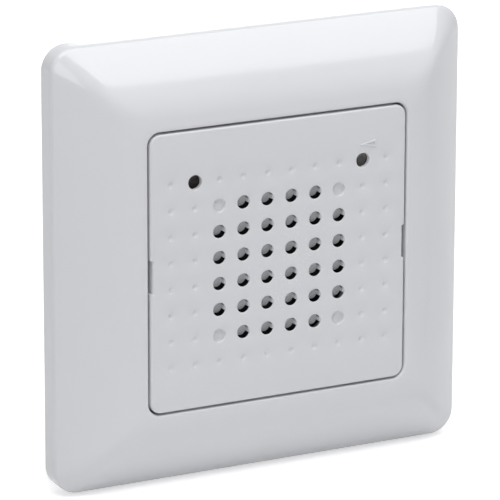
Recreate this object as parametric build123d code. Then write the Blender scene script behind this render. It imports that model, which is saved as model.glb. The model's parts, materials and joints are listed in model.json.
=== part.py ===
from build123d import *
import os
from math import sin, cos, radians, sqrt, hypot, atan2

# Flush door chime: a square convex cover frame and a perforated centre plate in front of a
# loudspeaker housing, all carried by a steel ring that is screwed to a round wall box.
# Millimetres. X runs right, Z up, Y into the wall. The wall plane is Y = 0 and the origin is
# the middle of the support plate's back face. Heights named "out" are measured from the wall
# plane towards the room, so out = -Y; what lies behind the wall has a negative out.

# Cover frame
border_width = 15.0          # from the centre plate's edge to the frame's outer edge
frame_corner_r = 4.5         # outer corners, seen from the front
frame_rim_out = 3.3          # upright part of the side wall
frame_rim_round = 1.3        # rounding between side wall and crowned face
frame_lip_out = 11.6         # inner edge, the highest line of the frame
frame_wall = 1.8             # thickness of the crowned face and the side wall
crown_start_share = 1.433    # slope of the face beside the rim, as a share of its mean slope
crown_join_share = 1.036     # slope where the flat outer arc meets the tighter inner arc
collar_wall = 1.4            # upright wall round the opening
collar_back_out = 1.5        # rear edge of that wall, clear of the support plate
ledge_out = 5.0              # shelf inside the collar that carries the centre plate
ledge_depth = 1.5            # how far the shelf reaches inwards
frame_ring_wall = 1.2        # stiffening ring between collar and side wall
frame_ring_share = 0.28      # gap from the collar to that ring, as a share of the border's width
frame_rib_wall = 1.0         # cross ribs under each border
frame_rib_count = 4          # cross ribs under each border
fold_clearance = 0.4         # between those ribs and the folds of the support plate
frame_lip_round = 0.4        # rounding at the opening
frame_lift = 0.1             # rear edge of the frame stands this far off the wall plane

# Centre plate
plate_size = 50.0            # the common size of centre plates
plate_corner_r = 2.0
plate_gap = 0.4              # between plate and frame opening, each side
plate_face_out = 11.7
plate_skin = 1.2             # thickness of the perforated face
plate_skirt = 1.5            # thickness of the side walls behind it
plate_edge_round = 0.45
notch_height = 6.0           # pry notches in the left and right edges
notch_depth = 0.8
notch_reach = 2.6            # how far back the notches run
seat_clearance = 0.05        # faces that seat on each other without touching in the model

# Grid of holes and dimples
grid_pitch_share = 0.0939    # pitch of the holes as a share of the plate's width
grid_columns = 10
grid_rows = 8
grid_drop = 0.6              # the grid sits this much below the middle of the plate
sound_hole_r = 1.2
sound_field = 6              # the sound holes fill a square of this many places a side
recess_depth = 0.45          # shallow recess in the corners of the sound field
dimple_r = 0.43
dimple_depth = 0.25
adjuster_hole_r = 1.3
adjuster_column_inset = 1    # places from the left and right edge of the grid
guard_depth = 2.1            # from the face to the guard pad behind each sound hole
guard_thickness = 0.7
guard_post_width = 0.6       # post on each side that carries the pad
guard_post_height = 1.7

# Raised wedge over the volume adjuster
wedge_length = 3.3
wedge_rise = 1.37
wedge_line = 0.32
wedge_height = 0.2
wedge_above = 2.85           # from the middle of the adjuster up to the middle of the wedge
wedge_right = 0.9            # and to its right

# Plate legs
leg_spacing = 14.0           # between the two legs of a side
leg_width = 4.0
leg_thickness = 1.4
leg_inset = 1.8              # from the inside of the plate's side wall to the middle of a leg
leg_tip_out = 1.3
leg_tip_taper = 0.4
leg_clearance = 0.1
duct_height = 2.4            # ring behind the plate that leads to the loudspeaker

# Support plate
support_inset = 4.5          # the ring stays this far inside the frame's outer edge
support_corner_r = 8.0
support_thickness = 1.2
slot_web = 1.4               # between the opening for the can and the box screw slots
box_slot_r = 1.9
box_slot_length = 7.6
support_edge_fold = 2.2      # stiffening flange along the outer edges, towards the room
fold_length_share = 0.42
wall_box_clearance = 0.3     # between housing and the opening of the support plate

# Housing
can_overhang = 1.2           # the can is this much wider than the flange, each side
can_wall = 1.4
can_depth = 14.2             # rear rim of the can, behind the wall plane
flange_clearance = 0.6       # between the flange and the frame's shelf
flange_thickness = 1.6
flange_corner_r = 2.5
corner_screw_inset = 2.9     # from the flange's edge
corner_screw_r = 1.25
corner_hole_clearance = 0.15
corner_head_r = 2.2
corner_head_height = 0.8
screw_slot_width = 0.6
screw_slot_depth = 0.45
corner_boss_height = 1.0
pocket_wall = 1.0            # wall round each leg pocket
pocket_height = 2.0          # above the flange
post_r = 2.2                 # posts that carry the main board
post_inset = 4.2             # from the outside of the can to the middle of a post
post_count = 4
post_start_angle = 45.0
post_screw_r = 1.0
post_hole_clearance = 0.12

# Rear cover
cover_thickness = 1.5
cover_spigot_depth = 1.2
cover_spigot_wall = 1.2
cover_clearance = 0.15
cover_screw_head_r = 1.9
cover_screw_head_height = 1.3
cover_screw_bite = 5.0
terminal_window_gap = 0.3
vent_width = 1.6
vent_length = 9.0
vent_count = 5
vent_pitch = 3.4
vent_gap = 4.2               # from the terminal block up to the middle of the first vent

# Loudspeaker
speaker_inset = 6.5          # from the outside of the can to that of the loudspeaker
speaker_face_out = 7.2
speaker_flange = 0.8
speaker_flange_width = 1.6
basket_floor_share = 0.5244  # radius of the basket's floor, as a share of its opening's
basket_sheet = 0.7
basket_floor_out = 3.0
basket_window_count = 4
basket_window_angle = 54.0
basket_window_start = 45.0   # turns the windows away from the contact pins
basket_window_top_share = 0.2
basket_window_floor_share = 0.15
magnet_inset = 0.6           # the magnet is this much smaller than the basket's floor
magnet_thickness = 3.2
magnet_bore_r = 4.4
pole_r = 3.2
pole_plate_thickness = 1.0
yoke_thickness = 1.2
coil_gap = 0.25
coil_wall = 0.25
coil_length = 4.4
surround_width = 2.8
cone_rim = 0.8               # flat rim that the surround is glued to
cone_thickness = 0.35
cone_drop = 2.6
dust_cap_r = 4.6
dust_cap_rise = 1.3
surround_wall = 0.25
surround_rise = 0.35
surround_lap = 0.8           # flat edge of the surround on the flange
gasket_width = 1.5
ring_wall = 1.4              # moulded ring round the loudspeaker
ring_seat = 1.0              # inner step of that ring that carries the flange
ring_clearance = 0.3
contact_r = 0.5
contact_spacing = 5.0
contact_inset = 4.0          # from the opening of the basket to the contact pins

# Adjusters
adjuster_face_out = 9.3
rotor_r = 2.0
rotor_flange = 0.6
rotor_clearance = 0.05
rotor_slot_width = 0.55
rotor_slot_depth = 0.6
rotor_slot_length = 3.2
rotor_stem_r = 1.0
pot_r = 2.9
pot_height = 3.5
pot_base_height = 0.6
pot_base_size = 4.6
pot_recess = 0.2
adjuster_board_thickness = 1.2
adjuster_board_margin = 4.07 # beyond the middle of each adjuster
adjuster_board_top_margin = 1.7   # above the middle of the header
adjuster_board_low_margin = 3.03  # below the middle of the adjusters
board_ring_clearance = 0.35
board_post_r = 1.6
board_post_x = 9.0
header_pin_count = 4
header_pitch = 2.54
header_pin_width = 0.64
header_body_width = 2.5
header_body_height = 2.5
header_inset = 4.2           # from the outside of the can

# Main board
board_clearance = 0.7        # between the main board and the can
board_thickness = 1.6
board_depth = 4.2            # front face of the board, behind the wall plane
chip_lead_pitch = 1.27
chip_lead_width = 0.45
chip_lead_reach = 1.1
chip_body_lift = 0.15
chip_height = 1.6
sound_chip_size = (10.2, 5.3)
sound_chip_lead_count = 8
sound_chip_place_share = (-0.38, 0.2)      # of the main board's radius, as the next places
amplifier_chip_size = (4.9, 3.9)
amplifier_chip_lead_count = 4
amplifier_chip_place_share = (0.16, 0.13)
capacitor_bead = 0.5
filter_capacitor_r = 3.15
filter_capacitor_height = 7.6
filter_capacitor_place_share = (0.56, 0.19)
output_capacitor_r = 2.5
output_capacitor_height = 6.8
output_capacitor_place_share = (0.32, 0.55)
rectifier_size = (8.2, 6.4)
rectifier_height = 2.6
rectifier_place_share = (-0.1, 0.59)
resistor_size = (2.0, 1.25)
resistor_height = 0.55
resistor_row_count = 2
resistor_column_count = 4
resistor_pitch = (3.1, 2.6)
resistor_place_share = (-0.45, -0.07)
ceramic_size = (1.6, 1.2)
ceramic_height = 0.9
ceramic_pitch = 2.8
ceramic_count = 3
ceramic_place_share = (0.23, -0.11)

# Terminals
terminal_count = 4
terminal_pitch = 5.0
terminal_depth = 10.0        # size of the block along Z
terminal_rim_gap = 1.0        # from the corners of the block to the spigot of the rear cover
terminal_back = 25.6         # rear face of the block, behind the wall plane
terminal_end_wall = 1.2
terminal_top_chamfer = 1.0
terminal_screw_r = 1.25
terminal_head_r = 1.8
terminal_head_height = 1.6
terminal_head_recess = 0.6   # screw heads sit this far below the rear face
terminal_slot_width = 0.6
terminal_slot_depth = 0.7
cage_width = 4.0
cage_depth = 4.8
cage_height = 5.0
cage_wall = 0.6
cage_travel = 2.4
cage_clearance = 0.12
bar_width = 2.2
bar_thickness = 0.6
entry_size = 3.0

overrun = 1.0                # how far cutting tools run past a face
match_window = 0.01          # how exactly an edge has to lie on a level to be picked by it


def front_plane(out):
    # drawing plane that looks from the room: x right, y up, normal towards the room
    return Plane.XZ.offset(out)


def slab(sketch, back_out, front_out):
    # a sketch seen from the room, thickened between two distances from the wall plane
    return extrude(front_plane(back_out) * sketch, amount=front_out - back_out)


def disc(radius, back_out, front_out, x=0, z=0):
    return slab(Pos(x, z) * Circle(radius), back_out, front_out)


def tube(outer_r, inner_r, back_out, front_out, x=0, z=0):
    return slab(Pos(x, z) * (Circle(outer_r) - Circle(inner_r)), back_out, front_out)


def turned(points, x=0, z=0):
    # a closed outline of (radius, out) points turned round an axis square to the wall
    plane = Plane(origin=(x, 0, z), x_dir=(1, 0, 0), z_dir=(0, 0, -1))
    outline = make_face(Polyline(*points, close=True))
    return revolve(plane * outline, axis=Axis((x, 0, z), (0, 1, 0)))


def turned_face(outline, x=0, z=0):
    plane = Plane(origin=(x, 0, z), x_dir=(1, 0, 0), z_dir=(0, 0, -1))
    return revolve(plane * outline, axis=Axis((x, 0, z), (0, 1, 0)))


def group(parts):
    # several separate solids under one name
    return Compound(children=list(parts))


# Sizes that follow from the ones above
frame_size = plate_size + 2 * border_width
frame_half = frame_size / 2
crown_slope = atan2(frame_lip_out - frame_rim_out, border_width)
opening_half = plate_size / 2 + plate_gap
grid_pitch = plate_size * grid_pitch_share
leg_x = plate_size / 2 - plate_skirt - leg_inset
flange_size = 2 * (opening_half - ledge_depth - flange_clearance)
corner_screw_offset = flange_size / 2 - corner_screw_inset
can_r = flange_size / 2 + can_overhang
can_hole_r = can_r + wall_box_clearance
box_screw_spacing = 2 * (can_hole_r + slot_web) + box_slot_length
support_size = frame_size - 2 * support_inset
post_circle_r = can_r - post_inset
board_r = can_r - can_wall - board_clearance
header_z = can_r - header_inset
speaker_r = can_r - speaker_inset
speaker_opening_r = speaker_r - speaker_flange_width
basket_floor_r = speaker_opening_r * basket_floor_share
magnet_r = basket_floor_r - magnet_inset
cone_r = speaker_opening_r - surround_width
collar_half = opening_half + collar_wall
ring_inner_half = collar_half + border_width * frame_ring_share
ring_outer_half = ring_inner_half + frame_ring_wall
plate_skin_out = plate_face_out - plate_skin
plate_back_out = ledge_out + seat_clearance
grid_z = -grid_drop
support_front_out = support_thickness
flange_back_out = support_front_out
flange_front_out = flange_back_out + flange_thickness
ring_r = speaker_r + ring_clearance + ring_wall
basket_back_out = speaker_face_out - speaker_flange
board_front_out = -board_depth
board_rear_out = board_front_out - board_thickness
cover_inner_out = -can_depth
cover_outer_out = cover_inner_out - cover_thickness
duct_inner_r = speaker_opening_r
duct_outer_r = speaker_opening_r + gasket_width
duct_out = plate_skin_out - duct_height
guard_front_out = plate_face_out - guard_depth
guard_back_out = guard_front_out - guard_thickness
adjuster_x = (grid_columns - 1) / 2 * grid_pitch - adjuster_column_inset * grid_pitch
adjuster_z = grid_z + (grid_rows - 1) / 2 * grid_pitch
adjuster_board_width = 2 * (adjuster_x + adjuster_board_margin)
adjuster_board_top = header_z + adjuster_board_top_margin
adjuster_board_bottom = adjuster_z - adjuster_board_low_margin
contact_drop = speaker_opening_r - contact_inset
spigot_r = can_r - can_wall - cover_clearance
spigot_inner_r = spigot_r - cover_spigot_wall
terminal_width = terminal_count * terminal_pitch + 2 * terminal_end_wall
terminal_low = terminal_rim_gap - sqrt(spigot_inner_r ** 2 - (terminal_width / 2) ** 2)
terminal_z = terminal_low + terminal_depth / 2
terminal_top = terminal_low + terminal_depth


def crown_arcs():
    # The border rises from the rim in two arcs that meet at the join's slope and end level at
    # the opening. Their radii are solved so that the arcs span the border's width and rise.
    start, join = crown_slope * crown_start_share, crown_slope * crown_join_share
    turn = radians(90) - start
    foot = (frame_rim_round * (1 - cos(turn)), frame_rim_out + frame_rim_round * sin(turn))
    run = frame_half - opening_half - foot[0]
    rise = frame_lip_out - foot[1]
    a, b = sin(start) - sin(join), sin(join)
    c, d = cos(join) - cos(start), 1 - cos(join)
    outer_r = (run * d - rise * b) / (a * d - b * c)
    inner_r = (rise * a - run * c) / (a * d - b * c)
    return foot, outer_r, inner_r, start, join


def crown_outline(inset):
    # half of the frame's cross-section, as points and arcs from the rim to the opening's edge,
    # in (distance from the side wall, out), set inwards by inset along the normal
    foot, outer_r, inner_r, start, join = crown_arcs()
    outer_centre = (foot[0] + outer_r * sin(start), foot[1] - outer_r * cos(start))
    inner_centre = (frame_half - opening_half, frame_lip_out - inner_r)

    def on_outer(angle):
        r = outer_r - inset
        return (outer_centre[0] - r * sin(angle), outer_centre[1] + r * cos(angle))

    def on_inner(angle):
        r = inner_r - inset
        return (inner_centre[0] - r * sin(angle), inner_centre[1] + r * cos(angle))

    arcs = []
    if inset < frame_rim_round:
        r = frame_rim_round - inset
        turn = radians(90) - start
        rim = [(frame_rim_round - r * cos(t), frame_rim_out + r * sin(t)) for t in (0, turn / 2, turn)]
        arcs.append(rim)
        first = start
    else:
        reach = outer_centre[0] - inset
        r = outer_r - inset
        first = Vector(0, 1).get_angle(Vector(reach, sqrt(r * r - reach * reach)))
        first = radians(first)
    arcs.append([on_outer(first), on_outer((first + join) / 2), on_outer(join)])
    arcs.append([on_inner(join), on_inner(join / 2), on_inner(0)])
    return arcs


def crown_face(inset, reach):
    # closed outline of the left half: up the side wall, over the arcs, level to reach, and down
    arcs = crown_outline(inset)
    base = (inset, 0)
    last = arcs[-1][-1]
    lines = [Line(base, arcs[0][0])]
    lines += [ThreePointArc(*arc) for arc in arcs]
    lines += [Line(last, (reach, last[1])), Line((reach, last[1]), (reach, 0)), Line((reach, 0), base)]
    return make_face(lines)


def crowned_block(inset):
    # The crowned profile extruded across and along, and kept where both agree, which mitres
    # the corners. The outer corners are then turned so that the rim runs round them.
    half = Pos(-frame_half, 0) * crown_face(inset, frame_half)
    profile = half + mirror(half, about=Plane.YZ)
    across = extrude(Plane(origin=(0, 0, 0), x_dir=(1, 0, 0), z_dir=(0, 0, -1)) * profile,
                     amount=frame_half, both=True)
    along = extrude(Plane(origin=(0, 0, 0), x_dir=(0, 0, 1), z_dir=(1, 0, 0)) * profile,
                    amount=frame_half, both=True)
    block = across & along
    corner = frame_half - frame_corner_r
    tall = frame_lip_out + overrun
    window = Pos((inset + frame_corner_r) / 2, tall / 2) * Rectangle(frame_corner_r - inset, tall)
    button_face = crown_face(inset, frame_half) & window
    for x in (-corner, corner):
        for z in (-corner, corner):
            side_x, side_z = (1 if x > 0 else -1), (1 if z > 0 else -1)
            square = Pos(x + side_x * frame_corner_r / 2, z + side_z * frame_corner_r / 2) * Rectangle(
                frame_corner_r, frame_corner_r)
            block -= slab(square, -overrun, frame_lip_out + overrun)
            # the outline is measured from the side wall, so it is turned about its far end
            flipped = Pos(frame_corner_r, 0) * mirror(button_face, about=Plane.YZ)
            block += turned_face(flipped, x, z)
    return block


def square_tube(outer_half, inner_half, corner_r, back_out, front_out):
    outer = RectangleRounded(2 * outer_half, 2 * outer_half, corner_r + outer_half - inner_half)
    inner = RectangleRounded(2 * inner_half, 2 * inner_half, corner_r)
    return slab(outer - inner, back_out, front_out)


def frame_ribs():
    # cross ribs under the four borders, evenly spaced along each, clear of the support plate
    rib_back = support_thickness + support_edge_fold + fold_clearance
    spread = 2 * collar_half / frame_rib_count
    bars = Sketch()
    for place in GridLocations(spread, 0, frame_rib_count, 1):
        bars += place * Rectangle(frame_rib_wall, frame_size)
    bars += Rot(0, 0, 90) * bars
    return slab(bars, rib_back, frame_lip_out)


def make_cover_frame():
    opening_r = plate_corner_r + plate_gap
    opening = slab(RectangleRounded(2 * opening_half, 2 * opening_half, opening_r), ledge_out,
                   frame_lip_out + overrun)
    ledge_half = opening_half - ledge_depth
    passage = slab(RectangleRounded(2 * ledge_half, 2 * ledge_half, opening_r), -overrun,
                   frame_lip_out + overrun)
    collar = slab(RectangleRounded(2 * collar_half, 2 * collar_half, opening_r + collar_wall),
                  collar_back_out, frame_lip_out)
    ring = square_tube(ring_outer_half, ring_inner_half, opening_r, collar_back_out, frame_lip_out)
    hollow = crowned_block(frame_wall) - collar - ring - frame_ribs()
    hollow += slab(Rectangle(2 * (frame_half - frame_wall), 2 * (frame_half - frame_wall)),
                   -overrun, 0)
    below_ribs = slab(RectangleRounded(2 * (frame_half - frame_wall), 2 * (frame_half - frame_wall),
                                       frame_corner_r - frame_wall), 0, collar_back_out)
    frame = crowned_block(0) - hollow - below_ribs - opening - passage
    frame -= slab(Rectangle(frame_size, frame_size), 0, frame_lift)
    lip = frame.edges().filter_by_position(Axis.Y, -frame_lip_out - match_window,
                                           -frame_lip_out + match_window)
    inner_lip = [e for e in lip if abs(e.center().X) < collar_half and abs(e.center().Z) < collar_half]
    return fillet(inner_lip, frame_lip_round)


def grid_place(column, row):
    x = (column - (grid_columns - 1) / 2) * grid_pitch
    z = grid_z + ((grid_rows - 1) / 2 - row) * grid_pitch
    return x, z


def grid_features():
    # sorts the places of the grid into sound holes, recesses, adjuster holes and dimples
    sound, recesses, adjusters, dimples = [], [], [], []
    first_column = (grid_columns - sound_field) // 2
    first_row = (grid_rows - sound_field) // 2
    last = sound_field - 1
    for column in range(grid_columns):
        for row in range(grid_rows):
            c, r = column - first_column, row - first_row
            place = grid_place(column, row)
            if row == 0 and column in (adjuster_column_inset, grid_columns - 1 - adjuster_column_inset):
                adjusters.append(place)
            elif 0 <= c <= last and 0 <= r <= last:
                (recesses if c in (0, last) and r in (0, last) else sound).append(place)
            else:
                dimples.append(place)
    return sound, recesses, adjusters, dimples


def circles(places, radius):
    return Sketch() + [Pos(x, z) * Circle(radius) for x, z in places]


def volume_wedge():
    # hollow triangle that points left, standing on the plate's face
    outline = Polyline((-wedge_length / 2, 0), (wedge_length / 2, -wedge_rise / 2),
                       (wedge_length / 2, wedge_rise / 2), close=True)
    solid = make_face(outline)
    hole = offset(solid, amount=-wedge_line)
    return slab(Pos(adjuster_x + wedge_right, adjuster_z + wedge_above) * (solid - hole), plate_face_out,
                plate_face_out + wedge_height)


def guard_pads(sound):
    # a pad behind each sound hole, held by a post at its left and right
    pad = Circle(sound_hole_r + seat_clearance)
    post_x = sound_hole_r + guard_post_width / 2 - seat_clearance
    post = Rectangle(guard_post_width, guard_post_height)
    posts = Sketch() + [Pos(x, 0) * post for x in (-post_x, post_x)]
    pads = Sketch() + [Pos(x, z) * (pad + posts) for x, z in sound]
    stands = Sketch() + [Pos(x, z) * posts for x, z in sound]
    return slab(pads, guard_back_out, guard_front_out) + slab(stands, guard_front_out, plate_skin_out)


def leg_places():
    return [(side * leg_x, z) for side in (-1, 1)
            for z in (-leg_spacing / 2, leg_spacing / 2)]


def make_centre_plate():
    sound, recesses, adjusters, dimples = grid_features()
    outline = RectangleRounded(plate_size, plate_size, plate_corner_r)
    plate = slab(outline, plate_back_out, plate_face_out)
    front = plate.faces().sort_by(Axis.Y)[0]
    plate = fillet(front.edges(), plate_edge_round)
    inner = plate_size - 2 * plate_skirt
    plate -= slab(RectangleRounded(inner, inner, plate_corner_r / 2), plate_back_out - overrun,
                  plate_skin_out)
    plate += tube(duct_outer_r, duct_inner_r, duct_out, plate_skin_out, 0, grid_z)
    notch = Sketch() + [Pos(side * plate_size / 2, 0) * Rectangle(2 * notch_depth, notch_height)
                        for side in (-1, 1)]
    plate -= slab(notch, plate_face_out - notch_reach, plate_face_out + overrun)
    plate -= slab(circles(sound, sound_hole_r), guard_back_out, plate_face_out + overrun)
    plate -= slab(circles(adjusters, adjuster_hole_r), plate_back_out, plate_face_out + overrun)
    plate -= slab(circles(recesses, sound_hole_r), plate_face_out - recess_depth,
                  plate_face_out + overrun)
    plate -= slab(circles(dimples, dimple_r), plate_face_out - dimple_depth, plate_face_out + overrun)
    plate += guard_pads(sound)
    plate += volume_wedge()
    for x, z in leg_places():
        leg = slab(Pos(x, z) * Rectangle(leg_thickness, leg_width), leg_tip_out, plate_skin_out)
        tip = leg.faces().sort_by(Axis.Y)[-1]
        plate += chamfer(tip.edges(), leg_tip_taper)
    return plate


def make_support_plate():
    outline = RectangleRounded(support_size, support_size, support_corner_r)
    outline -= Circle(can_hole_r)
    slot = SlotOverall(box_slot_length, 2 * box_slot_r)
    half = box_screw_spacing / 2
    for side in (-1, 1):
        outline -= Pos(side * half, 0) * slot
        outline -= Pos(0, side * half) * Rot(0, 0, 90) * slot
    for x, z in corner_places():
        outline -= Pos(x, z) * Circle(corner_screw_r)
    plate = slab(outline, 0, support_thickness)
    fold = support_size * fold_length_share
    reach = support_size / 2 - support_thickness / 2
    folds = Sketch()
    for side in (-1, 1):
        folds += Pos(side * reach, 0) * Rectangle(support_thickness, fold)
        folds += Pos(0, side * reach) * Rectangle(fold, support_thickness)
    return plate + slab(folds, support_thickness, support_thickness + support_edge_fold)


def corner_places():
    return [(x, z) for x in (-corner_screw_offset, corner_screw_offset)
            for z in (-corner_screw_offset, corner_screw_offset)]


def post_places():
    return [(p.position.X, p.position.Y) for p in
            PolarLocations(post_circle_r, post_count, start_angle=post_start_angle)]


def header_outline(clearance):
    width = header_pin_count * header_pitch
    return Pos(0, header_z) * Rectangle(width + 2 * clearance, header_body_width + 2 * clearance)


def make_housing():
    flange = RectangleRounded(flange_size, flange_size, flange_corner_r)
    body = slab(flange, flange_back_out, flange_front_out)
    body += disc(can_r, -can_depth, flange_back_out)
    body -= disc(can_r - can_wall, -can_depth - overrun, flange_back_out)
    body += tube(ring_r, speaker_r - ring_seat, flange_front_out, basket_back_out, 0, grid_z)
    body += tube(ring_r, ring_r - ring_wall, basket_back_out, speaker_face_out, 0, grid_z)
    for x, z in corner_places():
        body += disc(corner_head_r, flange_front_out, flange_front_out + corner_boss_height, x, z)
        body -= disc(corner_screw_r + corner_hole_clearance, flange_back_out - overrun,
                     flange_front_out + corner_boss_height + overrun, x, z)
    for x, z in leg_places():
        body += slab(Pos(x, z) * Rectangle(leg_thickness + 2 * pocket_wall, leg_width + 2 * pocket_wall),
                     flange_front_out, flange_front_out + pocket_height)
        body -= slab(Pos(x, z) * Rectangle(leg_thickness + 2 * leg_clearance,
                                           leg_width + 2 * leg_clearance),
                     flange_back_out, flange_front_out + pocket_height + overrun)
    for x, z in post_places():
        body += disc(post_r, board_front_out, flange_back_out, x, z)
        body -= disc(post_screw_r, board_front_out, board_front_out + cover_screw_bite, x, z)
    for x in (-board_post_x, board_post_x):
        body += disc(board_post_r, flange_front_out, adjuster_board_back(), x, header_z)
    body -= disc(magnet_r + ring_clearance, flange_back_out - overrun,
                 flange_front_out + overrun, 0, grid_z)
    body -= slab(header_outline(ring_clearance), flange_back_out - overrun, flange_front_out + overrun)
    body -= slab(contact_sketch(contact_r + ring_clearance), flange_back_out - overrun,
                 flange_front_out + overrun)
    return body


def contact_sketch(radius):
    z = grid_z - contact_drop
    return Sketch() + [Pos(x, z) * Circle(radius) for x in (-contact_spacing / 2, contact_spacing / 2)]


def adjuster_board_front():
    return adjuster_face_out - pot_height - rotor_flange + pot_recess


def adjuster_board_back():
    return adjuster_board_front() - adjuster_board_thickness


def terminal_block_outline(clearance):
    return Pos(0, terminal_z) * Rectangle(terminal_width + 2 * clearance,
                                          terminal_depth + 2 * clearance)


def make_rear_cover():
    cover = disc(can_r, cover_outer_out, cover_inner_out)
    cover += tube(spigot_r, spigot_inner_r, cover_inner_out, cover_inner_out + cover_spigot_depth)
    for x, z in post_places():
        cover += disc(post_r, cover_inner_out, board_rear_out, x, z)
        cover -= disc(post_screw_r + post_hole_clearance, cover_outer_out - overrun,
                      board_rear_out + overrun, x, z)
    cover -= slab(terminal_block_outline(terminal_window_gap), cover_outer_out - overrun,
                  board_rear_out)
    vents = Sketch() + [place * SlotOverall(vent_length, vent_width)
                        for place in GridLocations(0, vent_pitch, 1, vent_count)]
    middle = terminal_top + vent_gap + (vent_count - 1) / 2 * vent_pitch
    return cover - slab(Pos(0, middle) * vents, cover_outer_out - overrun, cover_inner_out + overrun)


def cross_slotted_head(head_r, height, top_out, slot_width, slot_depth, direction, x, z):
    # screw head that faces the room (direction 1) or the back of the housing (direction -1)
    inner_out = top_out - direction * height
    low, high = min(top_out, inner_out), max(top_out, inner_out)
    head = disc(head_r, low, high, x, z)
    cut_low, cut_high = ((top_out - slot_depth, top_out + overrun) if direction > 0
                         else (top_out - overrun, top_out + slot_depth))
    slot = Rectangle(2 * head_r, slot_width) + Rectangle(slot_width, 2 * head_r)
    return head - slab(Pos(x, z) * slot, cut_low, cut_high)


def make_mounting_screws():
    screws = []
    seat = flange_front_out + corner_boss_height
    for x, z in corner_places():
        screw = cross_slotted_head(corner_head_r, corner_head_height, seat + corner_head_height,
                                   screw_slot_width, screw_slot_depth, 1, x, z)
        screws.append(screw + disc(corner_screw_r, 0, seat, x, z))
    return group(screws)


def make_housing_screws():
    screws = []
    for x, z in post_places():
        screw = cross_slotted_head(cover_screw_head_r, cover_screw_head_height,
                                   cover_outer_out - cover_screw_head_height, screw_slot_width,
                                   screw_slot_depth, -1, x, z)
        screws.append(screw + disc(post_screw_r, cover_outer_out,
                                   board_front_out + cover_screw_bite, x, z))
    return group(screws)


def make_speaker_basket():
    # pressed sheet: flat flange, cone-shaped wall with windows, and a floor with a bore
    bore = pole_r + coil_gap + coil_wall + coil_gap
    basket = turned([
        (speaker_r, speaker_face_out), (speaker_r, basket_back_out),
        (speaker_opening_r, basket_back_out), (basket_floor_r, basket_floor_out),
        (bore, basket_floor_out), (bore, basket_floor_out + basket_sheet),
        (basket_floor_r, basket_floor_out + basket_sheet),
        (speaker_opening_r - basket_sheet / 2, speaker_face_out),
    ], 0, grid_z)
    rise = basket_back_out - basket_floor_out
    reach = speaker_opening_r - basket_floor_r
    inner = basket_floor_r + reach * basket_window_floor_share
    outer = speaker_opening_r - reach * basket_window_top_share
    window = Circle(outer) - Circle(inner)
    half = basket_window_angle / 2
    spread = Polyline((0, 0), (outer * 2 * cos(radians(half)), -outer * 2 * sin(radians(half))),
                      (outer * 2 * cos(radians(half)), outer * 2 * sin(radians(half))), close=True)
    sector = make_face(spread)
    windows = Sketch() + [
        Rot(0, 0, basket_window_start + k * 360 / basket_window_count) * (window & sector)
        for k in range(basket_window_count)]
    low = basket_floor_out - overrun
    return basket - slab(Pos(0, grid_z) * windows, low, low + rise + 2 * overrun)


def magnet_front_out():
    return basket_floor_out - pole_plate_thickness


def magnet_back_out():
    return magnet_front_out() - magnet_thickness


def make_speaker_top_plate():
    bore = pole_r + coil_gap + coil_wall + coil_gap
    return tube(magnet_r, bore, magnet_front_out(), basket_floor_out, 0, grid_z)


def make_speaker_magnet():
    return tube(magnet_r, magnet_bore_r, magnet_back_out(), magnet_front_out(), 0, grid_z)


def make_speaker_yoke():
    back = magnet_back_out()
    yoke = disc(magnet_r, back - yoke_thickness, back, 0, grid_z)
    return yoke + disc(pole_r, back, basket_floor_out + basket_sheet, 0, grid_z)


def make_voice_coil():
    inner = pole_r + coil_gap
    top = cone_back_out()
    return tube(inner + coil_wall, inner, top - coil_length, top, 0, grid_z)


def cone_front_out():
    return speaker_face_out - cone_thickness


def cone_back_out():
    return cone_front_out() - cone_drop


def make_speaker_cone():
    neck = pole_r + coil_gap
    flat = cone_r - cone_rim
    return turned([
        (neck, cone_back_out()), (neck + coil_wall, cone_back_out()),
        (flat, cone_front_out()), (cone_r, cone_front_out()),
        (cone_r, cone_front_out() + cone_thickness), (flat, cone_front_out() + cone_thickness),
        (neck, cone_back_out() + cone_thickness),
    ], 0, grid_z)


def cone_surface_out(radius):
    # front face of the cone at a given radius
    neck = pole_r + coil_gap
    share = (radius - neck) / (cone_r - cone_rim - neck)
    return cone_back_out() + cone_thickness + share * cone_drop


def dome_arc(radius, foot, rise):
    # circular arc from the crown of a shallow dome down to its foot
    dome_r = (radius * radius + rise * rise) / (2 * rise)
    middle = radius / 2
    height = sqrt(dome_r * dome_r - middle * middle) - (dome_r - rise)
    return ThreePointArc((0, foot + rise), (middle, foot + height), (radius, foot))


def make_dust_cap():
    # thin dome whose rim rests on the cone
    foot = cone_surface_out(dust_cap_r)
    chord = dust_cap_r
    inner_r = chord - cone_thickness
    inner_rise = dust_cap_rise - cone_thickness
    outer_arc = dome_arc(chord, foot, dust_cap_rise)
    inner_arc = dome_arc(inner_r, foot, inner_rise)
    rim = Line((chord, foot), (inner_r, foot))
    top = Line((0, foot + inner_rise), (0, foot + dust_cap_rise))
    return turned_face(make_face([outer_arc, rim, inner_arc, top]), 0, grid_z)


def make_speaker_surround():
    # half-round roll with a flat edge on the cone's rim and one on the basket's flange
    inner, outer = cone_r, speaker_opening_r
    middle = (inner + outer) / 2
    low, top = speaker_face_out, surround_front_out()
    edge, lap = inner - cone_rim, outer + surround_lap
    lines = [
        Line((edge, low), (edge, top)), Line((edge, top), (inner, top)),
        ThreePointArc((inner, top), (middle, top + surround_rise), (outer, top)),
        Line((outer, top), (lap, top)), Line((lap, top), (lap, low)), Line((lap, low), (outer, low)),
        ThreePointArc((outer, low), (middle, low + surround_rise), (inner, low)),
        Line((inner, low), (edge, low)),
    ]
    return turned_face(make_face(lines), 0, grid_z)


def surround_front_out():
    return speaker_face_out + surround_wall


def make_speaker_gasket():
    return tube(duct_outer_r, duct_inner_r, surround_front_out(), duct_out - seat_clearance, 0, grid_z)


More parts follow.
